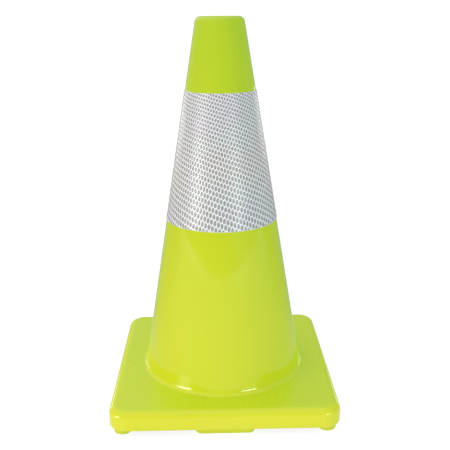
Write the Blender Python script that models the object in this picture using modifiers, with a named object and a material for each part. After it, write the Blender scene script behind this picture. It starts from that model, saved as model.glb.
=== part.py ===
"""An 18 inch traffic cone: a tapered shell held in a weighted square base on feet, with a slip-on
reflective collar. Metres, +Z up. The origin is on the cone's axis, on the ground under the feet."""

import math

import bmesh
import bpy
from mathutils import Matrix, Vector

MM = 0.001
GAP = 0.3 * MM  # clearance between pieces that touch

# Cone shell
HEIGHT = 457 * MM  # 18 inches, ground to rim
RIM_RADIUS = 27.7 * MM  # where the straight wall would meet the rim's plane
HALF_ANGLE = math.radians(9.45)
SHELL_WALL = 2.5 * MM
ROOF_THICKNESS = 3.2 * MM
SHOULDER_RADIUS = 7 * MM
TOP_HOLE_RADIUS = 19 * MM
FLANGE_WIDTH = 12 * MM
FLANGE_THICKNESS = 3 * MM

# Base cover
BASE_SIDE = 267.3 * MM
BASE_TOP = 30.6 * MM
SKIRT_BOTTOM = 7.2 * MM
CORNER_RADIUS = 21 * MM  # in plan
TOP_EDGE_RADIUS = 9 * MM
SKIRT_EDGE_RADIUS = 2 * MM
COVER_WALL = 2.7 * MM
NECK_FILLET = 6.5 * MM  # the hollow curve from the base up to the cone wall
NECK_LIP = 0.5 * MM

# Ballast
BALLAST_THICKNESS = 11.6 * MM
BALLAST_EDGE_RADIUS = 1.5 * MM

# Feet
CORNER_FOOT_RADIUS = 10.5 * MM
CORNER_FOOT_INSET = 5.3 * MM
CORNER_FOOT_TAPER = 0.5 * MM
SIDE_FOOT_LENGTH = 68 * MM
SIDE_FOOT_WIDTH = 15 * MM
SIDE_FOOT_INSET = 4 * MM
SIDE_FOOT_END_RADIUS = 7 * MM
FOOT_EDGE_RADIUS = 1.5 * MM

# Collar
COLLAR_BOTTOM = 221.5 * MM
COLLAR_TOP = 374.9 * MM
BACKING_THICKNESS = 0.6 * MM
SHEETING_THICKNESS = 0.4 * MM

# Levels and clearances that follow from the sizes above
COVER_INSIDE = BASE_TOP - COVER_WALL
BALLAST_TOP = COVER_INSIDE - GAP
BALLAST_BOTTOM = BALLAST_TOP - BALLAST_THICKNESS
FLANGE_TOP = COVER_INSIDE - GAP
FLANGE_BOTTOM = FLANGE_TOP - FLANGE_THICKNESS
FOOT_TOP = BALLAST_BOTTOM - GAP

# Smoothness of the round shapes
TURN_STEPS = 64
CORNER_STEPS = 6
EDGE_STEPS = 3
FOOT_STEPS = 24
SHARP_ANGLE = math.radians(35)
OVERRUN = 5 * MM  # how far a cutter passes the surface that it cuts

LIME = (0.60, 0.69, 0.025)
BLACK = (0.02, 0.02, 0.02)
VINYL_WHITE = (0.75, 0.76, 0.76)
REFLECTIVE_WHITE = (0.62, 0.64, 0.65)


def clear_scene():
    for obj in list(bpy.data.objects):
        bpy.data.objects.remove(obj, do_unlink=True)


def new_collection(name):
    collection = bpy.data.collections.new(name)
    bpy.context.scene.collection.children.link(collection)
    return collection


def make_material(name, colour, roughness):
    material = bpy.data.materials.new(name)
    material.use_nodes = True
    shader = material.node_tree.nodes["Principled BSDF"]
    shader.inputs["Base Color"].default_value = (*colour, 1)
    shader.inputs["Roughness"].default_value = roughness
    shader.inputs["Metallic"].default_value = 0
    return material


def add_piece(name, mesh, material, parent):
    """Adds a sub-part to the cone's collection, under the empty that it moves with."""
    obj = bpy.data.objects.new(name, mesh)
    if not mesh.materials:
        mesh.materials.append(material)
    obj.parent = parent
    pieces.objects.link(obj)
    return obj


def add_cutter(name, mesh):
    """Adds a helper that other pieces are cut or joined with."""
    obj = bpy.data.objects.new(name, mesh)
    obj.display_type = "WIRE"
    obj.hide_render = True
    cutters.objects.link(obj)
    return obj


def combine(target, other, operation):
    modifier = target.modifiers.new(operation.lower(), "BOOLEAN")
    modifier.operation = operation
    modifier.solver = "EXACT"
    modifier.object = other


def cone_radius(height):
    """Outer radius of the cone's wall at a height."""
    return RIM_RADIUS + (HEIGHT - height) * math.tan(HALF_ANGLE)


def wall_offset(height, distance):
    """Radius, at a height, of the surface that lies a distance outside the cone's wall."""
    return cone_radius(height) + distance / math.cos(HALF_ANGLE)


def arc(centre, radius, start, end, steps):
    """Points (radius from the axis, height) along an arc between two angles."""
    angles = [start + (end - start) * step / steps for step in range(steps + 1)]
    return [(centre[0] + radius * math.cos(angle), centre[1] + radius * math.sin(angle)) for angle in angles]


def profile_mesh(name, profile):
    """The closed outline of a turned shape, in the XZ plane."""
    mesh = bpy.data.meshes.new(name)
    points = [(radius, 0, height) for radius, height in profile]
    edges = [(index, (index + 1) % len(points)) for index in range(len(points))]
    mesh.from_pydata(points, edges, [])
    return mesh


def turn(obj):
    """Turns an object's outline about the axis. The outline runs down its outer side."""
    screw = obj.modifiers.new("turn", "SCREW")
    screw.angle = math.tau
    screw.steps = TURN_STEPS
    screw.render_steps = TURN_STEPS
    screw.use_smooth_shade = True
    screw.use_merge_vertices = True
    screw.merge_threshold = GAP / 30
    return obj


def rim_edges(bm, height):
    """The edges that lie in the horizontal plane at a height."""
    return [edge for edge in bm.edges if all(abs(vert.co.z - height) < GAP / 100 for vert in edge.verts)]


def round_edges(bm, edges, radius, steps):
    bmesh.ops.bevel(
        bm, geom=edges, offset=radius, offset_type="OFFSET", segments=steps, profile=0.5, affect="EDGES"
    )


def finish_mesh(bm, name):
    mesh = bpy.data.meshes.new(name)
    bm.to_mesh(mesh)
    bm.free()
    mesh.shade_smooth()
    mesh.set_sharp_from_angle(angle=SHARP_ANGLE)
    return mesh


def rounded_block(name, size, levels, corner_radius, top_round, bottom_round):
    """The mesh of a slab with rounded corners in plan and rounded upper and lower edges."""
    bottom, top = levels
    height = top - bottom
    bm = bmesh.new()
    bmesh.ops.create_cube(bm, size=1)
    bmesh.ops.scale(bm, vec=(size[0], size[1], height), verts=bm.verts)
    bmesh.ops.translate(bm, vec=(0, 0, bottom + height / 2), verts=bm.verts)
    upright = [edge for edge in bm.edges if abs(edge.verts[0].co.z - edge.verts[1].co.z) > height / 2]
    round_edges(bm, upright, corner_radius, CORNER_STEPS)
    if top_round:
        round_edges(bm, rim_edges(bm, top), top_round, EDGE_STEPS)
    if bottom_round:
        round_edges(bm, rim_edges(bm, bottom), bottom_round, EDGE_STEPS)
    return finish_mesh(bm, name)


def make_cone_body(material, parent):
    """The shell: rim, shoulder, straight wall, and the flange that the base traps."""
    reach = SHOULDER_RADIUS * (1 / math.cos(HALF_ANGLE) - math.tan(HALF_ANGLE))
    shoulder = (RIM_RADIUS - reach, HEIGHT - SHOULDER_RADIUS)
    flange_edge = cone_radius(FLANGE_TOP) + FLANGE_WIDTH
    profile = [(TOP_HOLE_RADIUS, HEIGHT)]
    profile += arc(shoulder, SHOULDER_RADIUS, math.pi / 2, HALF_ANGLE, 5)
    profile += [
        (cone_radius(FLANGE_TOP), FLANGE_TOP),
        (flange_edge, FLANGE_TOP),
        (flange_edge, FLANGE_BOTTOM),
        (wall_offset(FLANGE_BOTTOM, -SHELL_WALL), FLANGE_BOTTOM),
    ]
    profile += arc(shoulder, SHOULDER_RADIUS - SHELL_WALL, HALF_ANGLE, math.radians(50), 2)
    profile.append((TOP_HOLE_RADIUS, HEIGHT - ROOF_THICKNESS))
    return turn(add_piece("cone_body", profile_mesh("cone_body", profile), material, parent))


def make_neck_ring():
    """The ring that carries the base's top up to the cone wall in a hollow curve."""
    sink = GAP / 15  # the curve ends just inside the top, so that the two join cleanly
    centre_height = BASE_TOP + NECK_FILLET - sink
    centre = (wall_offset(centre_height, NECK_FILLET), centre_height)
    lip_angle = math.acos(1 - (GAP + NECK_LIP) / NECK_FILLET)
    profile = arc(centre, NECK_FILLET, math.pi + HALF_ANGLE + lip_angle, 1.5 * math.pi, 6)
    lip_height = profile[0][1]
    ring_bottom = COVER_INSIDE + COVER_WALL / 4
    profile += [
        (centre[0], ring_bottom),
        (wall_offset(ring_bottom, GAP), ring_bottom),
        (wall_offset(lip_height, GAP), lip_height),
    ]
    return turn(add_cutter("neck_ring", profile_mesh("neck_ring", profile)))


def make_base_cover(material, parent):
    """The square tray, open below, with the neck around its central hole."""
    outside = rounded_block(
        "base_cover",
        (BASE_SIDE, BASE_SIDE),
        (SKIRT_BOTTOM, BASE_TOP),
        CORNER_RADIUS,
        TOP_EDGE_RADIUS,
        SKIRT_EDGE_RADIUS,
    )
    inner_side = BASE_SIDE - 2 * COVER_WALL
    inside = rounded_block(
        "cover_inside",
        (inner_side, inner_side),
        (SKIRT_BOTTOM - OVERRUN, COVER_INSIDE),
        CORNER_RADIUS - COVER_WALL,
        TOP_EDGE_RADIUS - COVER_WALL,
        0,
    )
    hole_radius = wall_offset(COVER_INSIDE, NECK_FILLET / 3)
    hole_top = BASE_TOP + OVERRUN
    hole_bottom = COVER_INSIDE - OVERRUN
    hole = [(0, hole_top), (hole_radius, hole_top), (hole_radius, hole_bottom), (0, hole_bottom)]
    cover = add_piece("base_cover", outside, material, parent)
    combine(cover, add_cutter("cover_inside", inside), "DIFFERENCE")
    combine(cover, turn(add_cutter("cover_hole", profile_mesh("cover_hole", hole))), "DIFFERENCE")
    combine(cover, make_neck_ring(), "UNION")
    return cover


def make_base_ballast(material, parent):
    """The heavy slab inside the tray, stepped to seat the cone's flange."""
    side = BASE_SIDE - 2 * (COVER_WALL + GAP)
    slab = rounded_block(
        "base_ballast",
        (side, side),
        (BALLAST_BOTTOM, BALLAST_TOP),
        CORNER_RADIUS - COVER_WALL - GAP,
        TOP_EDGE_RADIUS - COVER_WALL - GAP,
        BALLAST_EDGE_RADIUS,
    )
    bore = wall_offset(BALLAST_BOTTOM, -SHELL_WALL)
    seat_radius = cone_radius(FLANGE_TOP) + FLANGE_WIDTH + GAP
    seat_level = FLANGE_BOTTOM - GAP
    hole = [
        (0, BALLAST_TOP + OVERRUN),
        (seat_radius, BALLAST_TOP + OVERRUN),
        (seat_radius, seat_level),
        (bore, seat_level),
        (bore, BALLAST_BOTTOM - OVERRUN),
        (0, BALLAST_BOTTOM - OVERRUN),
    ]
    ballast = add_piece("base_ballast", slab, material, parent)
    combine(ballast, turn(add_cutter("ballast_hole", profile_mesh("ballast_hole", hole))), "DIFFERENCE")
    return ballast


def place_around(mesh, names, position, material, parent):
    """Four copies of a mesh, a quarter turn apart. The position is the first one's."""
    for number, name in enumerate(names):
        angle = number * math.pi / 2
        foot = add_piece(name, mesh, material, parent)
        foot.location = Matrix.Rotation(angle, 3, "Z") @ Vector(position)
        foot.rotation_euler.z = angle


def make_corner_feet(material, parent):
    """Round pads, slightly tapered, under the corners."""
    bm = bmesh.new()
    bmesh.ops.create_cone(
        bm,
        cap_ends=True,
        segments=FOOT_STEPS,
        radius1=CORNER_FOOT_RADIUS - CORNER_FOOT_TAPER,
        radius2=CORNER_FOOT_RADIUS,
        depth=FOOT_TOP,
    )
    bmesh.ops.translate(bm, vec=(0, 0, FOOT_TOP / 2), verts=bm.verts)
    round_edges(bm, rim_edges(bm, 0), FOOT_EDGE_RADIUS, EDGE_STEPS)
    reach = BASE_SIDE / 2 - CORNER_FOOT_INSET - CORNER_FOOT_RADIUS
    corners = ("front_left", "front_right", "back_right", "back_left")
    names = [f"corner_foot_{corner}" for corner in corners]
    place_around(finish_mesh(bm, "corner_foot"), names, (-reach, -reach, 0), material, parent)


def make_side_feet(material, parent):
    """Long pads with round ends, under the middle of each side."""
    mesh = rounded_block(
        "side_foot",
        (SIDE_FOOT_LENGTH, SIDE_FOOT_WIDTH),
        (0, FOOT_TOP),
        SIDE_FOOT_END_RADIUS,
        0,
        FOOT_EDGE_RADIUS,
    )
    reach = BASE_SIDE / 2 - SIDE_FOOT_INSET - SIDE_FOOT_WIDTH / 2
    names = [f"side_foot_{side}" for side in ("front", "right", "back", "left")]
    place_around(mesh, names, (0, -reach, 0), material, parent)


def make_sleeve(name, inside, thickness, material, parent):
    """A thin tapered sleeve that lies a distance outside the cone's wall."""
    outside = inside + thickness
    profile = [
        (wall_offset(COLLAR_TOP, outside), COLLAR_TOP),
        (wall_offset(COLLAR_BOTTOM, outside), COLLAR_BOTTOM),
        (wall_offset(COLLAR_BOTTOM, inside), COLLAR_BOTTOM),
        (wall_offset(COLLAR_TOP, inside), COLLAR_TOP),
    ]
    mesh = profile_mesh(name, [(radius, height - COLLAR_BOTTOM) for radius, height in profile])
    return turn(add_piece(name, mesh, material, parent))


def make_collar():
    """The slip-on collar: a vinyl sleeve and the film on it. It slides up the cone's axis."""
    slide = bpy.data.objects.new("collar_slide", None)
    slide.location = (0, 0, COLLAR_BOTTOM)
    pieces.objects.link(slide)
    vinyl = make_material("vinyl", VINYL_WHITE, 0.5)
    film = make_material("reflective_film", REFLECTIVE_WHITE, 0.25)
    make_sleeve("collar_backing", GAP, BACKING_THICKNESS, vinyl, slide)
    make_sleeve("collar_sheeting", 2 * GAP + BACKING_THICKNESS, SHEETING_THICKNESS, film, slide)


def make_stand():
    """Everything that stays put: the shell, the base and the feet."""
    stand = bpy.data.objects.new("stand", None)
    pieces.objects.link(stand)
    lime = make_material("lime_pvc", LIME, 0.35)
    black = make_material("black_ballast", BLACK, 0.7)
    make_cone_body(lime, stand)
    make_base_cover(lime, stand)
    make_base_ballast(black, stand)
    make_corner_feet(lime, stand)
    make_side_feet(lime, stand)


clear_scene()
pieces = new_collection("traffic_cone")
cutters = new_collection("cutters")
make_stand()
make_collar()
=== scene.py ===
"""The looks of the traffic cone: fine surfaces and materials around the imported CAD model."""

import math
import random

import bmesh
import bpy
from mathutils import Matrix, Vector


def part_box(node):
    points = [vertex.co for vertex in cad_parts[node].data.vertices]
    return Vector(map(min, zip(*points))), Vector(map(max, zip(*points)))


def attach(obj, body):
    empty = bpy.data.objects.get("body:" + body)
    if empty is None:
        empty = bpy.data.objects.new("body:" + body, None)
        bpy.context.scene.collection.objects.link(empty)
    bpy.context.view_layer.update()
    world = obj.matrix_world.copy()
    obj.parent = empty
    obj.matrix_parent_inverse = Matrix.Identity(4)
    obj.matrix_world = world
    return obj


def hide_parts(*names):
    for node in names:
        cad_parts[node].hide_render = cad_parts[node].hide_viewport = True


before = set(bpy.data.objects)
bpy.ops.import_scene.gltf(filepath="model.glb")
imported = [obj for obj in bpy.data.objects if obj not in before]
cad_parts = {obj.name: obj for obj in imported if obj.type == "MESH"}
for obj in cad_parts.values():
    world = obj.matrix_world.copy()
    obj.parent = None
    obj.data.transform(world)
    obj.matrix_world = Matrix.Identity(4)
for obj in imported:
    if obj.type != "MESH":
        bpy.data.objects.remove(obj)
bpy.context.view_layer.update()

MM = 0.001
SEED = 18

# Smoothness
CORNER_POINTS = 16  # points round each corner of a square ring
SIDE_POINTS = 48  # points along each of its sides
ARC_STEPS = 10
WALL_STEPS = 40  # up the cone's wall
TOP_STEPS = 9  # across the base's top
MELT = 0.005 * MM  # points closer than this become one
SAME_PLACE = 0.05 * MM  # points of the CAD model closer to a height than this lie at it

# Clearances and walls
CAD_GAP = 0.3 * MM
FIT_GAP = 0.05 * MM
SHELL_WALL = 2.5 * MM
COVER_WALL = 2.7 * MM
ROOF_THICKNESS = 3.2 * MM
FLANGE_THICKNESS = 3 * MM
SHOULDER_RADIUS = 7 * MM
ROOF_TURN = math.radians(50)  # how far the shoulder's inside turns up before the roof's underside
SMALL_EDGE = 0.8 * MM

# Base
CORNER_RADIUS = 21 * MM
TOP_EDGE_RADIUS = 9 * MM
SKIRT_EDGE_RADIUS = 1.8 * MM
BALLAST_EDGE = 2 * MM
NECK_UPPER_RADIUS = 14 * MM  # the hollow curve where it leaves the cone wall
NECK_LOWER_RADIUS = 5 * MM  # and where it runs out onto the base
NECK_TURN = math.radians(25)  # how steep its face is where one radius passes into the other
NECK_LIP = 0.03 * MM  # how thick the curve is where it starts

# Feet
FOOT_EDGE = 1.5 * MM
GROOVE_DEPTH = 0.7 * MM
GROOVE_WIDTH = 1.1 * MM
GROOVE_SLOPE = 0.2 * MM  # how far in its sides lean
GROOVE_PITCH = 2.4 * MM
GROOVE_START = 1.2 * MM  # from the foot's edge to the first groove

# Collar
CARRIER_THICKNESS = 0.45 * MM
FILM_THICKNESS = 0.3 * MM
FILM_MARGIN = 0.4 * MM  # how far the film's edge stays inside the carrier's
LAP_ANGLE = 0.035  # how far the film's end laps over its start, on the flat sheet
RISE_ANGLE = 0.006  # the stretch in which the lapping end climbs
CELL_ACROSS = Vector((3.06, 0.99)) * MM  # from a cell to the next, on the flat sheet
CELL_DOWN = Vector((0.89, 4.48)) * MM
CELL_GROWTH = 2.1  # per metre, how the cells grow from the collar's top to its bottom
CELL_ROWS = range(-24, 50)  # more than the sheet needs, as it is cut to size afterwards
CELL_COLUMNS = range(-80, 81)
NET_WIDTH = 0.74 * MM
RIM_BLUNTING = 0.28  # how much of its sides a cell's outline loses at each corner
DOME_BLUNTING = 0.3
DOME_HEIGHT = 0.12 * MM
DOME_PEAK = 1.3 * DOME_HEIGHT
DOME_RUN = 0.5 * MM
DOME_LEAN = 0.3 * MM  # how far off centre a cell's top can be
TRIM_MARGIN = (6 * MM, 8 * MM, 0.02)  # what the cells overshoot at the top, the bottom and the ends
TRIM_SLACK = 0.01 * MM  # points closer than this to the film's edge lie on it
CUT_SLACK = 0.0001 * MM  # a cut splits nothing that is closer to it than this

# Camera
SENSOR_WIDTH = 36  # in millimetres, as is the lens
LENS = 56.064
CAMERA_PLACE = (-11.0 * MM, -825.8 * MM, 463.5 * MM)
CAMERA_YAW = math.radians(-1.04)
CAMERA_PITCH = math.radians(-17.07)
CAMERA_ROLL = math.radians(-0.5)

# Light
LIGHT_AIM = Vector((0, 0, 0.15))  # in metres, as are the lights' distance and sizes
LIGHT_DISTANCE = 4.0
WARM, COOL = (1.0, 0.93, 0.88), (0.84, 0.95, 0.96)  # from the left, and from the right
NEUTRAL = (0.92, 0.95, 0.92)
SOFTBOXES = (  # name, degrees to the right of the front, degrees up, width and height, watts, colour
    ("left_softbox", -57, 5.1, (1.55, 0.34), 56.0, WARM),
    ("right_softbox", 34, 5.1, (1.55, 0.34), 35.0, COOL),
    ("left_rim_strip", -138, 0.0, (1.25, 0.34), 7.0, NEUTRAL),
    ("right_rim_strip", 138, 0.0, (1.25, 0.34), 6.5, NEUTRAL),
)
FLOOR_SIZE = 8
FLOOR_WHITE = 0.86
FLOOR_GLOW = (0.66, 0.12)  # in front and behind
FLOOR_FADE = 0.25
WORLD_WHITE = 1.1
WORLD_LIGHT = 0.22
WORLD_GLOWS = (  # direction, power of the fall-off, strength
    ((-0.25, 0, 1), 2, 1.04),
    ((-0.6, 0.7, 0.4), 6, 0.4),
    ((0, 1, 0), 1, 0.04),
    ((0, -1, 0), 1, 0.1),
    ((-1, 0, 0), 1, 0.01),
    ((1, 0, 0), 1, 0.28),
)


# --- What the frame gives ------------------------------------------------------------------


def ring_radii(node, height):
    """The radii of a CAD node's points at a height, smallest first."""
    points = [vert.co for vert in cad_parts[node].data.vertices]
    return sorted(math.hypot(point.x, point.y) for point in points if abs(point.z - height) < SAME_PLACE)


def read_taper():
    """The cone wall's half angle and its radius at the ground, from the inside of the collar."""
    low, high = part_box("collar_backing")
    bottom_radius = ring_radii("collar_backing", low.z)[0]
    top_radius = ring_radii("collar_backing", high.z)[0]
    angle = math.atan((bottom_radius - top_radius) / (high.z - low.z))
    ground_radius = bottom_radius + low.z * math.tan(angle) - CAD_GAP / math.cos(angle)
    return angle, ground_radius


HALF_ANGLE, GROUND_RADIUS = read_taper()
RIM_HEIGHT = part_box("cone_body")[1].z
RIM_HOLE_RADIUS = ring_radii("cone_body", RIM_HEIGHT)[0]
FLANGE_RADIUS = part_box("cone_body")[1].x
FLANGE_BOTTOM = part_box("cone_body")[0].z
BASE_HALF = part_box("base_cover")[1].x
SKIRT_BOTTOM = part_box("base_cover")[0].z
BALLAST_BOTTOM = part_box("base_ballast")[0].z
BALLAST_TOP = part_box("base_ballast")[1].z
COVER_INSIDE = BALLAST_TOP + CAD_GAP
BASE_TOP = COVER_INSIDE + COVER_WALL
COLLAR_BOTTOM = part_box("collar_backing")[0].z
COLLAR_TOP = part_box("collar_backing")[1].z


def wall_offset(height, distance=0.0):
    """Radius, at a height, of the surface that lies a distance outside the cone's wall."""
    return GROUND_RADIUS - height * math.tan(HALF_ANGLE) + distance / math.cos(HALF_ANGLE)


# --- Mesh helpers --------------------------------------------------------------------------


def add_piece(name, bm, materials, body, node, sharp=40):
    """Makes a piece of the object that rides on a body and stands for a CAD node."""
    bmesh.ops.recalc_face_normals(bm, faces=bm.faces)
    mesh = bpy.data.meshes.new(name)
    bm.to_mesh(mesh)
    bm.free()
    mesh.shade_smooth()
    mesh.set_sharp_from_angle(angle=math.radians(sharp))
    for material in materials:
        mesh.materials.append(material)
    obj = bpy.data.objects.new(name, mesh)
    bpy.context.scene.collection.objects.link(obj)
    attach(obj, body)
    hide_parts(node)


def arc(centre, radius, start, end, steps=ARC_STEPS):
    """Points along an arc between two angles, in the plane of radius and height."""
    points = []
    for step in range(steps + 1):
        angle = start + (end - start) * step / steps
        points.append((centre[0] + radius * math.cos(angle), centre[1] + radius * math.sin(angle)))
    return points


def between(start, end, steps):
    """Points between two others, both left out."""
    shares = [step / steps for step in range(1, steps)]
    return [(start[0] + (end[0] - start[0]) * t, start[1] + (end[1] - start[1]) * t) for t in shares]


def outline(half_x, half_y, corner, inset=0.0):
    """The points of a rectangle with round corners, moved inwards by an inset."""
    radius = max(corner - inset, 0.0)
    reach_x = max(half_x - inset - radius, 0.0)
    reach_y = max(half_y - inset - radius, 0.0)
    centres = [(reach_x, -reach_y), (reach_x, reach_y), (-reach_x, reach_y), (-reach_x, -reach_y)]
    points = []
    for number, (x, y) in enumerate(centres):
        start = (number - 1) * math.pi / 2
        for step in range(CORNER_POINTS):
            angle = start + math.pi / 2 * step / (CORNER_POINTS - 1)
            points.append(Vector((x + radius * math.cos(angle), y + radius * math.sin(angle))))
        following = centres[(number + 1) % 4]
        along = start + math.pi / 2
        begin = points[-1]
        end = Vector((following[0] + radius * math.cos(along), following[1] + radius * math.sin(along)))
        for step in range(1, SIDE_POINTS + 1):
            points.append(begin.lerp(end, step / (SIDE_POINTS + 1)))
    return points


SQUARE = outline(BASE_HALF, BASE_HALF, CORNER_RADIUS)
CIRCLE = [point.normalized() for point in SQUARE]


def circle_ring(radius, height):
    """A level circle round the axis."""
    return [(point.x * radius, point.y * radius, height) for point in CIRCLE]


def square_ring(inset, height):
    """A level outline of the base, with as many points as a circle."""
    return [(*point, height) for point in outline(BASE_HALF, BASE_HALF, CORNER_RADIUS, inset)]


def lofted(rings, closed=True):
    """A skin over rings of equally many points. A closed one joins the last ring to the first."""
    bm = bmesh.new()
    rows = [[bm.verts.new(point) for point in ring] for ring in rings]
    count = len(rows[0])
    for index in range(len(rows) - (0 if closed else 1)):
        row, following = rows[index], rows[(index + 1) % len(rows)]
        for step in range(count):
            after = (step + 1) % count
            bm.faces.new((row[step], row[after], following[after], following[step]))
    return bm, rows


def turned(profile):
    """The skin of a closed profile of (radius, height) points, turned about the axis."""
    return lofted([circle_ring(radius, height) for radius, height in profile])[0]


# --- Node helpers --------------------------------------------------------------------------


class Nodes:
    """A node tree under construction: short names for making and joining its nodes."""

    def __init__(self, tree):
        self.tree = tree

    def add(self, kind, **values):
        node = self.tree.nodes.new(kind)
        for name, value in values.items():
            setattr(node, name, value)
        return node

    def link(self, source, target):
        self.tree.links.new(source, target)

    def feed(self, target, value):
        """Gives an input a number, a colour or another node's output."""
        if isinstance(value, (int, float)):
            target.default_value = value
        elif isinstance(value, tuple):
            target.default_value = (*value, 1)
        else:
            self.link(value, target)

    def math(self, operation, *values):
        node = self.add("ShaderNodeMath", operation=operation)
        for target, value in zip(node.inputs, values):
            self.feed(target, value)
        return node.outputs["Value"]

    def remap(self, source, low, high, to_low, to_high):
        node = self.add("ShaderNodeMapRange")
        names = ("Value", "From Min", "From Max", "To Min", "To Max")
        for name, value in zip(names, (source, low, high, to_low, to_high)):
            self.feed(node.inputs[name], value)
        return node.outputs["Result"]

    def mix(self, share, first, second, blend="MIX"):
        node = self.add("ShaderNodeMix", data_type="RGBA", blend_type=blend)
        for value, index in ((share, 0), (first, 6), (second, 7)):
            self.feed(node.inputs[index], value)
        return node.outputs[2]

    def split(self, source):
        node = self.add("ShaderNodeSeparateXYZ")
        self.link(source, node.inputs[0])
        return node.outputs

    def camera_ray(self):
        """One for what the camera sees directly, and zero for what lights the object."""
        return self.add("ShaderNodeLightPath").outputs["Is Camera Ray"]


class Surface(Nodes):
    """A material under construction."""

    def __init__(self, name):
        self.material = bpy.data.materials.new(name)
        self.material.use_nodes = True
        super().__init__(self.material.node_tree)
        self.shader = self.tree.nodes["Principled BSDF"]
        coordinates = self.add("ShaderNodeTexCoord").outputs
        self.place, self.normal = coordinates["Object"], coordinates["Normal"]

    def set(self, **values):
        for name, value in values.items():
            self.shader.inputs[name.replace("_", " ")].default_value = value

    def noise(self, scale, detail=2.0, stretch=None):
        place = self.place
        if stretch:
            mapping = self.add("ShaderNodeMapping")
            mapping.inputs["Scale"].default_value = stretch
            self.link(place, mapping.inputs["Vector"])
            place = mapping.outputs["Vector"]
        node = self.add("ShaderNodeTexNoise")
        node.inputs["Scale"].default_value = scale
        node.inputs["Detail"].default_value = detail
        self.link(place, node.inputs["Vector"])
        return node.outputs["Fac"]

    def uneven(self, low, high, scale, detail=2.0):
        """A value that a noise moves between two others."""
        return self.remap(self.noise(scale, detail), 0.3, 0.7, low, high)

    def ramp(self, source, *stops):
        """Colours along a value. Each stop is (place, colour)."""
        node = self.add("ShaderNodeValToRGB")
        elements = node.color_ramp.elements
        while len(elements) < len(stops):
            elements.new(0.5)
        for element, (place, colour) in zip(elements, stops):
            element.position = place
            element.color = (*colour, 1)
        self.link(source, node.inputs["Fac"])
        return node.outputs["Color"]

    def colour(self, source):
        self.link(source, self.shader.inputs["Base Color"])

    def roughness(self, source):
        self.link(source, self.shader.inputs["Roughness"])

    def bumps(self, *layers):
        """Stacks bump layers on the shader. Each is (height, strength, distance)."""
        normal = None
        for height, strength, distance in layers:
            node = self.add("ShaderNodeBump")
            node.inputs["Strength"].default_value = strength
            node.inputs["Distance"].default_value = distance
            self.link(height, node.inputs["Height"])
            if normal:
                self.link(normal, node.inputs["Normal"])
            normal = node.outputs["Normal"]
        self.link(normal, self.shader.inputs["Normal"])


# --- Materials -----------------------------------------------------------------------------


def make_lime():
    """Soft lime PVC with painted light and shade in its colour: darker at the very foot, yellower and
    brighter on the skirt, darker and greener up the cone, greener where it faces up, and a faint painted
    green glow. Duller where it lies flat.
    """
    nodes = Surface("lime_pvc")
    # Painted light and shade by height: darker at the foot under the base, bright yellow on the skirt where
    # light off the floor falls, darker and greener up the cone where less light reaches.
    height = nodes.remap(nodes.split(nodes.place)["Z"], 0.0, RIM_HEIGHT, 0.0, 1.0)
    skirt = (0.73, 0.58, 0.03)
    wall = nodes.ramp(
        height,
        (0.0, (0.6, 0.49, 0.03)),
        (0.02, skirt),
        (0.048, skirt),
        (0.066, (0.63, 0.53, 0.016)),
        (1.0, (0.44, 0.45, 0.015)),
    )
    up = nodes.split(nodes.normal)["Z"]
    # Painted shade: faces that look up are mixed towards a greener, darker lime.
    body = nodes.mix(nodes.remap(up, 0.9, 1.0, 0.0, 1.0), wall, (0.6, 0.55, 0.024))
    cloud = nodes.noise(9, 3, stretch=(1, 1, 0.35))
    tint = nodes.ramp(cloud, (0.3, (0.97, 0.98, 0.9)), (0.7, (1.0, 1.0, 1.0)))
    nodes.colour(nodes.mix(1.0, body, tint, "MULTIPLY"))
    dull = nodes.remap(up, 0.6, 0.95, 0.0, 0.22)
    nodes.roughness(nodes.math("ADD", dull, nodes.uneven(0.04, 0.07, 60, 4)))
    nodes.bumps((nodes.noise(420), 0.04, 0.0002), (nodes.noise(35), 0.06, 0.001))
    # The emission is a painted glow: a faint green light from the PVC itself, so shaded parts stay green.
    nodes.set(IOR=1.5, Emission_Color=(0.15, 1, 0, 1), Emission_Strength=0.18)
    return nodes.material


def make_crumb_rubber():
    """Moulded rubber crumb: near black, coarse and dull, with lighter crumbs."""
    nodes = Surface("crumb_rubber")
    grains = nodes.add("ShaderNodeTexVoronoi")
    grains.inputs["Scale"].default_value = 450
    nodes.link(nodes.place, grains.inputs["Vector"])
    speck = nodes.split(grains.outputs["Color"])["X"]
    black, grey, pale = (0.012, 0.012, 0.012), (0.03, 0.03, 0.032), (0.12, 0.12, 0.11)
    nodes.colour(nodes.ramp(speck, (0.0, black), (0.9, grey), (1.0, pale)))
    nodes.roughness(nodes.uneven(0.65, 0.9, 80, 3))
    nodes.bumps((grains.outputs["Distance"], 0.4, 0.0006), (nodes.noise(120, 4), 0.3, 0.001))
    return nodes.material


def make_vinyl():
    """The collar's white vinyl carrier."""
    nodes = Surface("white_vinyl")
    nodes.colour(nodes.ramp(nodes.noise(40, 3), (0.3, (0.72, 0.73, 0.72)), (0.7, (0.8, 0.81, 0.8))))
    nodes.roughness(nodes.uneven(0.4, 0.55, 90))
    nodes.bumps((nodes.noise(700), 0.1, 0.0002))
    return nodes.material


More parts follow.
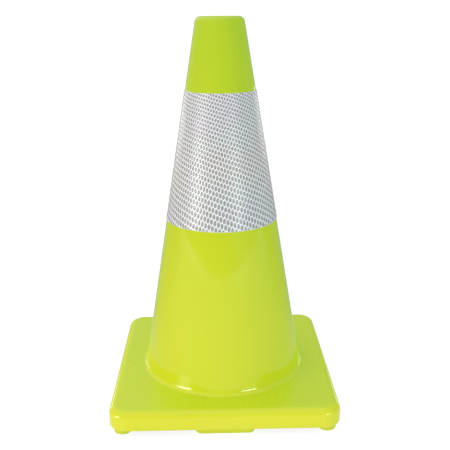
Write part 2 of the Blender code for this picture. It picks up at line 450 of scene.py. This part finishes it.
def make_film(name, low, high, roughness, gloss):
    """Retroreflective film under a clear glossy face, with faint pastel patches painted in as the prisms'
    coloured reflections.
    """
    nodes = Surface(name)
    # Painted reflection: faint pink, cyan and lilac patches fixed on the film stand in for the prisms'
    # coloured glints.
    tint = nodes.ramp(
        nodes.noise(14),
        (0.3, (1.0, 0.93, 0.95)),
        (0.42, (0.98, 0.98, 0.96)),
        (0.55, (0.94, 1.0, 0.99)),
        (0.7, (0.95, 0.94, 1.0)),
    )
    grains = nodes.ramp(nodes.noise(500), (0.35, low), (0.65, high))
    nodes.colour(nodes.mix(1.0, grains, tint, "MULTIPLY"))
    nodes.roughness(nodes.uneven(roughness - 0.05, roughness + 0.05, 120))
    nodes.set(Specular_IOR_Level=gloss, Coat_Weight=0.2, Coat_Roughness=0.15)
    nodes.bumps((nodes.noise(900), 0.08, 0.0002))
    return nodes.material


# --- The stand -----------------------------------------------------------------------------


def make_shell(material):
    """The tapered shell, from the rim hole down the outside, around the flange and up the inside."""
    reach = SHOULDER_RADIUS * (1 / math.cos(HALF_ANGLE) - math.tan(HALF_ANGLE))
    shoulder = (wall_offset(RIM_HEIGHT) - reach, RIM_HEIGHT - SHOULDER_RADIUS)
    flange_top = FLANGE_BOTTOM + FLANGE_THICKNESS
    rim_edge = (RIM_HOLE_RADIUS + SMALL_EDGE, RIM_HEIGHT - SMALL_EDGE)
    wall_top = (wall_offset(shoulder[1]), shoulder[1])
    wall_foot = (wall_offset(flange_top), flange_top)
    inner_foot = (wall_offset(FLANGE_BOTTOM, -SHELL_WALL), FLANGE_BOTTOM)
    inner_top = (wall_offset(shoulder[1], -SHELL_WALL), shoulder[1])
    flange_edge = (FLANGE_RADIUS - SMALL_EDGE, flange_top - SMALL_EDGE)
    flange_under = (FLANGE_RADIUS - SMALL_EDGE, FLANGE_BOTTOM + SMALL_EDGE)
    profile = arc(rim_edge, SMALL_EDGE, math.pi, math.pi / 2, 5)
    profile += arc(shoulder, SHOULDER_RADIUS, math.pi / 2, HALF_ANGLE, 14)
    profile += between(wall_top, wall_foot, WALL_STEPS)
    profile.append(wall_foot)
    profile += arc(flange_edge, SMALL_EDGE, math.pi / 2, 0, 4)
    profile += arc(flange_under, SMALL_EDGE, 0, -math.pi / 2, 4)
    profile.append(inner_foot)
    profile += between(inner_foot, inner_top, WALL_STEPS)
    profile += arc(shoulder, SHOULDER_RADIUS - SHELL_WALL, HALF_ANGLE, ROOF_TURN, 5)
    profile.append((RIM_HOLE_RADIUS + SMALL_EDGE, RIM_HEIGHT - ROOF_THICKNESS))
    profile.append((RIM_HOLE_RADIUS, RIM_HEIGHT - ROOF_THICKNESS + SMALL_EDGE))
    add_piece("cone_shell", turned(profile), [material], "stand", "cone_body")


def neck_curve():
    """The curve from the cone's wall down to the base's top: a wide arc, then a tight one."""
    widening = NECK_UPPER_RADIUS - NECK_LOWER_RADIUS
    upper_height = BASE_TOP + NECK_LOWER_RADIUS + widening * math.sin(NECK_TURN)
    upper = (wall_offset(upper_height, NECK_UPPER_RADIUS), upper_height)
    lower = (upper[0] - widening * math.cos(NECK_TURN), BASE_TOP + NECK_LOWER_RADIUS)
    lip_angle = math.acos(1 - (FIT_GAP + NECK_LIP) / NECK_UPPER_RADIUS)
    start = math.pi + HALF_ANGLE + lip_angle
    turn = math.pi + NECK_TURN
    wide_arc = arc(upper, NECK_UPPER_RADIUS, start, turn, 6)
    return wide_arc[:-1] + arc(lower, NECK_LOWER_RADIUS, turn, 1.5 * math.pi)


def make_cover(material):
    """The base's cover: hollow neck curve, flat top, rounded edge, skirt, and the inside."""
    neck = neck_curve()
    lip_height = neck[0][1]
    rings = [circle_ring(*point) for point in neck]
    inner_circle = circle_ring(*neck[-1])
    top_square = square_ring(TOP_EDGE_RADIUS, BASE_TOP)
    for step in range(1, TOP_STEPS):
        share = step / TOP_STEPS
        rings.append([Vector(a).lerp(Vector(b), share) for a, b in zip(inner_circle, top_square)])
    edge = arc((TOP_EDGE_RADIUS, BASE_TOP - TOP_EDGE_RADIUS), TOP_EDGE_RADIUS, math.pi / 2, math.pi)
    rings += [square_ring(*point) for point in edge]
    lower = (SKIRT_EDGE_RADIUS, SKIRT_BOTTOM + SKIRT_EDGE_RADIUS)
    rings += [square_ring(*point) for point in arc(lower, SKIRT_EDGE_RADIUS, math.pi, 1.5 * math.pi, 6)]
    inner_edge = COVER_WALL - SKIRT_EDGE_RADIUS
    rings.append(square_ring(COVER_WALL, SKIRT_BOTTOM + inner_edge / 2))
    inside_radius = TOP_EDGE_RADIUS - COVER_WALL
    inside = (TOP_EDGE_RADIUS, COVER_INSIDE - inside_radius)
    rings += [square_ring(*point) for point in arc(inside, inside_radius, math.pi, math.pi / 2, 6)]
    rings += [circle_ring(wall_offset(height, FIT_GAP), height) for height in (COVER_INSIDE, lip_height)]
    add_piece("base_shell", lofted(rings)[0], [material], "stand", "base_cover")


def make_ballast(material):
    """The slab inside the base, stepped for the flange, with a rounded lower edge."""
    gap = COVER_WALL + CAD_GAP
    seat = FLANGE_BOTTOM - CAD_GAP
    bore = wall_offset(BALLAST_BOTTOM, -SHELL_WALL)
    seat_radius = FLANGE_RADIUS + CAD_GAP
    lower_edge = (gap + SKIRT_EDGE_RADIUS, BALLAST_BOTTOM + SKIRT_EDGE_RADIUS)
    lower = arc(lower_edge, SKIRT_EDGE_RADIUS, math.pi, 1.5 * math.pi, 5)
    rings = [circle_ring(bore, seat), circle_ring(seat_radius, seat), circle_ring(seat_radius, BALLAST_TOP)]
    rings.append(square_ring(TOP_EDGE_RADIUS, BALLAST_TOP))
    rings.append(square_ring(gap, BALLAST_TOP - BALLAST_EDGE))
    rings += [square_ring(*point) for point in lower]
    rings.append(circle_ring(bore + SMALL_EDGE, BALLAST_BOTTOM))
    rings.append(circle_ring(bore, BALLAST_BOTTOM + SMALL_EDGE))
    add_piece("ballast_slab", lofted(rings)[0], [material], "stand", "base_ballast")


def make_pad(name, node, corner, material):
    """A foot: a pad with a round lower edge and grip grooves underneath."""
    low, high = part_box(node)
    half = (high - low) / 2
    middle = (high + low) / 2
    profile = [(0.0, high.z)]
    profile += arc((FOOT_EDGE, FOOT_EDGE), FOOT_EDGE, math.pi, 1.5 * math.pi, 4)
    inset = FOOT_EDGE + GROOVE_START
    while inset + GROOVE_PITCH < min(half.x, half.y):
        near, far = inset + GROOVE_SLOPE, inset + GROOVE_WIDTH - GROOVE_SLOPE
        profile += [(inset, 0.0), (near, GROOVE_DEPTH), (far, GROOVE_DEPTH), (inset + GROOVE_WIDTH, 0.0)]
        inset += GROOVE_PITCH
    rings = []
    for inset, height in profile:
        points = outline(half.x, half.y, corner, inset)
        rings.append([(point.x + middle.x, point.y + middle.y, height) for point in points])
    bm, rows = lofted(rings, closed=False)
    bm.faces.new(rows[0])
    bm.faces.new(rows[-1])
    bmesh.ops.remove_doubles(bm, verts=bm.verts, dist=MELT)
    add_piece(name, bm, [material], "stand", node, sharp=30)


def make_feet(material):
    """Round pads under the base's corners, and long ones under its sides."""
    corner_low, corner_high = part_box("corner_foot_front_left")
    side_low, side_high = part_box("side_foot_front")
    for place in ("front_left", "front_right", "back_right", "back_left"):
        radius = (corner_high.x - corner_low.x) / 2
        make_pad(f"corner_pad_{place}", f"corner_foot_{place}", radius, material)
    for place in ("front", "right", "back", "left"):
        radius = (side_high.y - side_low.y) / 2
        make_pad(f"side_pad_{place}", f"side_foot_{place}", radius, material)


# --- The collar ----------------------------------------------------------------------------

APEX_HEIGHT = GROUND_RADIUS / math.tan(HALF_ANGLE)
FLAT_TOP = (APEX_HEIGHT - COLLAR_TOP + FILM_MARGIN) / math.cos(HALF_ANGLE)
FLAT_BOTTOM = (APEX_HEIGHT - COLLAR_BOTTOM - FILM_MARGIN) / math.cos(HALF_ANGLE)
HALF_SHEET = math.pi * math.sin(HALF_ANGLE)  # half the flat sheet's angle


def make_carrier(material):
    """The vinyl sleeve under the film."""
    outside = FIT_GAP + CARRIER_THICKNESS
    edge = CARRIER_THICKNESS / 3
    profile = [
        (wall_offset(COLLAR_TOP, outside - edge), COLLAR_TOP),
        (wall_offset(COLLAR_TOP - edge, outside), COLLAR_TOP - edge),
        (wall_offset(COLLAR_BOTTOM + edge, outside), COLLAR_BOTTOM + edge),
        (wall_offset(COLLAR_BOTTOM, outside - edge), COLLAR_BOTTOM),
        (wall_offset(COLLAR_BOTTOM, FIT_GAP), COLLAR_BOTTOM),
        (wall_offset(COLLAR_TOP, FIT_GAP), COLLAR_TOP),
    ]
    add_piece("collar_carrier", turned(profile), [material], "collar", "collar_backing")


def neighbours():
    """The six nearest cells around one, in turning order."""
    a, b = CELL_ACROSS, CELL_DOWN
    return [a, b, b - a, -a, -b, a - b]


def cell_corners(shrink):
    """The corners of the cell around the origin, with each side moved inwards."""
    around = neighbours()
    corners = []
    for number in range(6):
        first, second = around[number], around[(number + 1) % 6]
        first_unit, second_unit = first.normalized(), second.normalized()
        first_reach, second_reach = first.length / 2 - shrink, second.length / 2 - shrink
        cross = first_unit.x * second_unit.y - first_unit.y * second_unit.x
        corners.append(Vector((
            (first_reach * second_unit.y - second_reach * first_unit.y) / cross,
            (second_reach * first_unit.x - first_reach * second_unit.x) / cross,
        )))
    return corners


def blunted(corners, share):
    """The same outline with each corner cut off, which makes it rounder."""
    points = []
    for number, corner in enumerate(corners):
        points.append(corner.lerp(corners[number - 1], share))
        points.append(corner.lerp(corners[(number + 1) % len(corners)], share))
    return points


def on_sheet(point):
    """Where a point of the even pattern lies on the flat sheet, as (angle, distance from the apex)."""
    grown = 1 / (1 - CELL_GROWTH * point.y)
    x, y = point.x * grown, FLAT_TOP + point.y * grown
    return math.atan2(x, y), math.hypot(x, y)


def film_pattern():
    """The film's outer face on the flat sheet: x is the angle, y the distance, z the height.

    Its faces take the first of the film's materials where three cells meet, the second on the
    cells, and the third on the seams between two cells.
    """
    bm = bmesh.new()

    def vertex(point, height=0.0):
        angle, distance = on_sheet(point)
        return bm.verts.new((angle, distance, height))

    corners = cell_corners(0)
    rim = blunted(cell_corners(NET_WIDTH / 2), RIM_BLUNTING)
    dome = blunted(cell_corners(NET_WIDTH / 2 + DOME_RUN), DOME_BLUNTING)
    above, below, beside = TRIM_MARGIN
    uneven = random.Random(SEED)
    for row in CELL_ROWS:
        for column in CELL_COLUMNS:
            centre = CELL_ACROSS * column + CELL_DOWN * row
            angle, distance = on_sheet(centre)
            outside = distance < FLAT_TOP - above or distance > FLAT_BOTTOM + below
            if outside or abs(angle) > HALF_SHEET + LAP_ANGLE + beside:
                continue
            outer = [vertex(centre + corner) for corner in corners]
            low = [vertex(centre + point) for point in rim]
            high = [vertex(centre + point, DOME_HEIGHT) for point in dome]
            lean = Vector((uneven.uniform(-1, 1), uneven.uniform(-1, 1))) * DOME_LEAN
            top = vertex(centre + lean, DOME_PEAK)
            for number in range(6):
                after = (number + 1) % 6
                left, right = 2 * number + 1, (2 * number + 2) % 12
                bm.faces.new((outer[number], outer[after], low[right], low[left])).material_index = 2
                bm.faces.new((outer[number], low[left], low[2 * number]))
            for number in range(12):
                after = (number + 1) % 12
                bm.faces.new((low[number], low[after], high[after], high[number])).material_index = 1
                bm.faces.new((high[number], high[after], top)).material_index = 1
    bmesh.ops.remove_doubles(bm, verts=bm.verts, dist=MELT)
    return bm


def trim(bm, place, normal):
    """Cuts the pattern along a line of the flat sheet and drops what lies beyond it."""
    geometry = bm.verts[:] + bm.edges[:] + bm.faces[:]
    bmesh.ops.bisect_plane(
        bm, geom=geometry, dist=CUT_SLACK, plane_co=place, plane_no=normal, clear_outer=True
    )


def lap_lift(angle):
    """How far the film stands off the carrier at an angle: its end climbs over its start."""
    climb = HALF_SHEET - LAP_ANGLE - RISE_ANGLE
    share = min(max((angle - climb) / RISE_ANGLE, 0.0), 1.0)
    return share * share * (3 - 2 * share) * (FILM_THICKNESS + DOME_PEAK + FIT_GAP)


def rolled(angle, distance, height):
    """The point of the cone that a point of the flat sheet comes to, at a height off the carrier."""
    turn = angle / math.sin(HALF_ANGLE) - math.pi / 2
    off = 2 * FIT_GAP + CARRIER_THICKNESS + lap_lift(angle) + height
    up = APEX_HEIGHT - distance * math.cos(HALF_ANGLE) + off * math.sin(HALF_ANGLE)
    out = distance * math.sin(HALF_ANGLE) + off * math.cos(HALF_ANGLE)
    return Vector((out * math.cos(turn), out * math.sin(turn), up))


def close_back(bm):
    """Gives the film its thickness: walls down from its border, and a back between them."""
    border = [edge for edge in bm.edges if edge.is_boundary]
    made = bmesh.ops.extrude_edge_only(bm, edges=border)["geom"]
    inner = [item for item in made if isinstance(item, bmesh.types.BMVert)]
    for vert in inner:
        vert.co.z = -FILM_THICKNESS

    def along(vert):
        return vert.co.x

    def across(vert):
        return vert.co.y

    first, last = FLAT_TOP + TRIM_SLACK, FLAT_BOTTOM - TRIM_SLACK
    top = sorted((vert for vert in inner if vert.co.y < first), key=along)
    bottom = sorted((vert for vert in inner if vert.co.y > last), key=along)
    sides = [vert for vert in inner if first <= vert.co.y <= last]
    start = sorted((vert for vert in sides if vert.co.x < 0), key=across)
    end = sorted((vert for vert in sides if vert.co.x > 0), key=across)
    bm.faces.new([top[0], *start, bottom[0], bottom[1], top[1]])
    upper, lower = 1, 1
    while upper < len(top) - 2 or lower < len(bottom) - 2:
        top_left, bottom_left = upper < len(top) - 2, lower < len(bottom) - 2
        if top_left and (not bottom_left or top[upper + 1].co.x <= bottom[lower + 1].co.x):
            bm.faces.new((top[upper], bottom[lower], top[upper + 1]))
            upper += 1
        else:
            bm.faces.new((top[upper], bottom[lower], bottom[lower + 1]))
            lower += 1
    bm.faces.new([top[-2], bottom[-2], bottom[-1], *reversed(end), top[-1]])


def make_film_piece(materials):
    """The film: the pattern cut to size, given its thickness and rolled onto the carrier."""
    bm = film_pattern()
    trim(bm, (0, FLAT_TOP, 0), (0, -1, 0))
    trim(bm, (0, FLAT_BOTTOM, 0), (0, 1, 0))
    trim(bm, (HALF_SHEET, 0, 0), (1, 0, 0))
    trim(bm, (-HALF_SHEET - LAP_ANGLE, 0, 0), (-1, 0, 0))
    close_back(bm)
    for vert in bm.verts:
        vert.co = rolled(*vert.co)
    bmesh.ops.remove_doubles(bm, verts=bm.verts, dist=MELT)
    add_piece("collar_film", bm, materials, "collar", "collar_sheeting", sharp=50)


# --- Stage, light and camera ---------------------------------------------------------------


def make_floor():
    """A white floor that glows like a light table, more in front of the object than behind it."""
    bpy.ops.mesh.primitive_plane_add(size=FLOOR_SIZE)
    floor = bpy.context.object
    floor.name = "floor"
    nodes = Surface("floor_white")
    nodes.set(Base_Color=(0.25, 0.25, 0.25, 1), Roughness=0.9, Specular_IOR_Level=0.0)
    nodes.set(Emission_Color=(1, 1, 1, 1))
    glow = nodes.remap(nodes.split(nodes.place)["Y"], -FLOOR_FADE, FLOOR_FADE, *FLOOR_GLOW)
    strength = nodes.remap(nodes.camera_ray(), 0.0, 1.0, glow, FLOOR_WHITE)
    nodes.link(strength, nodes.shader.inputs["Emission Strength"])
    floor.data.materials.append(nodes.material)


def make_world():
    """A studio's walls: pure white to the eye, and a dimmer light that grows overhead.

    The light is warm from the left and cool from the right.
    """
    world = bpy.data.worlds.new("studio")
    world.use_nodes = True
    nodes = Nodes(world.node_tree)
    direction = nodes.add("ShaderNodeTexCoord").outputs["Generated"]
    light = WORLD_LIGHT
    for axis, power, strength in WORLD_GLOWS:
        facing = nodes.add("ShaderNodeVectorMath", operation="DOT_PRODUCT")
        facing.inputs[1].default_value = axis
        nodes.link(direction, facing.inputs[0])
        glow = nodes.math("POWER", nodes.math("MAXIMUM", facing.outputs["Value"], 0.0), power)
        light = nodes.math("MULTIPLY_ADD", glow, strength, light)
    side = nodes.remap(nodes.split(direction)["X"], -1.0, 1.0, 0.0, 1.0)
    tint = nodes.mix(nodes.camera_ray(), nodes.mix(side, WARM, COOL), (1.0, 1.0, 1.0))
    background = nodes.tree.nodes["Background"].inputs
    nodes.link(nodes.remap(nodes.camera_ray(), 0.0, 1.0, light, WORLD_WHITE), background["Strength"])
    nodes.link(tint, background["Color"])
    bpy.context.scene.world = world


def make_lights():
    """The softboxes, all aimed at the cone."""
    for name, azimuth, elevation, size, power, colour in SOFTBOXES:
        turn, lift = math.radians(azimuth), math.radians(elevation)
        away = Vector((math.sin(turn) * math.cos(lift), -math.cos(turn) * math.cos(lift), math.sin(lift)))
        light = bpy.data.lights.new(name, "AREA")
        light.shape = "RECTANGLE"
        light.size, light.size_y = size
        light.energy = power
        light.color = colour
        obj = bpy.data.objects.new(name, light)
        obj.location = LIGHT_AIM + LIGHT_DISTANCE * away
        obj.rotation_mode = "QUATERNION"
        obj.rotation_quaternion = (-away).to_track_quat("-Z", "Y")
        bpy.context.scene.collection.objects.link(obj)


def make_camera():
    """The view from the front, a little above the cone."""
    camera = bpy.data.cameras.new("camera")
    camera.sensor_width = SENSOR_WIDTH
    camera.lens = LENS
    obj = bpy.data.objects.new("camera", camera)
    turn = Matrix.Rotation(CAMERA_YAW, 4, "Z") @ Matrix.Rotation(math.pi / 2 + CAMERA_PITCH, 4, "X")
    obj.matrix_world = Matrix.Translation(CAMERA_PLACE) @ turn @ Matrix.Rotation(CAMERA_ROLL, 4, "Z")
    bpy.context.scene.collection.objects.link(obj)
    bpy.context.scene.camera = obj


make_camera()
make_world()
make_lights()
make_floor()
bpy.context.scene.view_settings.view_transform = "Standard"

lime = make_lime()
make_shell(lime)
make_cover(lime)
make_ballast(make_crumb_rubber())
make_feet(lime)
make_carrier(make_vinyl())
film_materials = [
    make_film("film_node", (0.93, 0.92, 0.93), (0.98, 0.97, 0.98), 0.4, 0.3),
    make_film("film_cell", (0.31, 0.3, 0.31), (0.42, 0.41, 0.42), 0.25, 0.2),
    make_film("film_seam", (0.76, 0.75, 0.76), (0.86, 0.85, 0.86), 0.4, 0.3),
]
make_film_piece(film_materials)
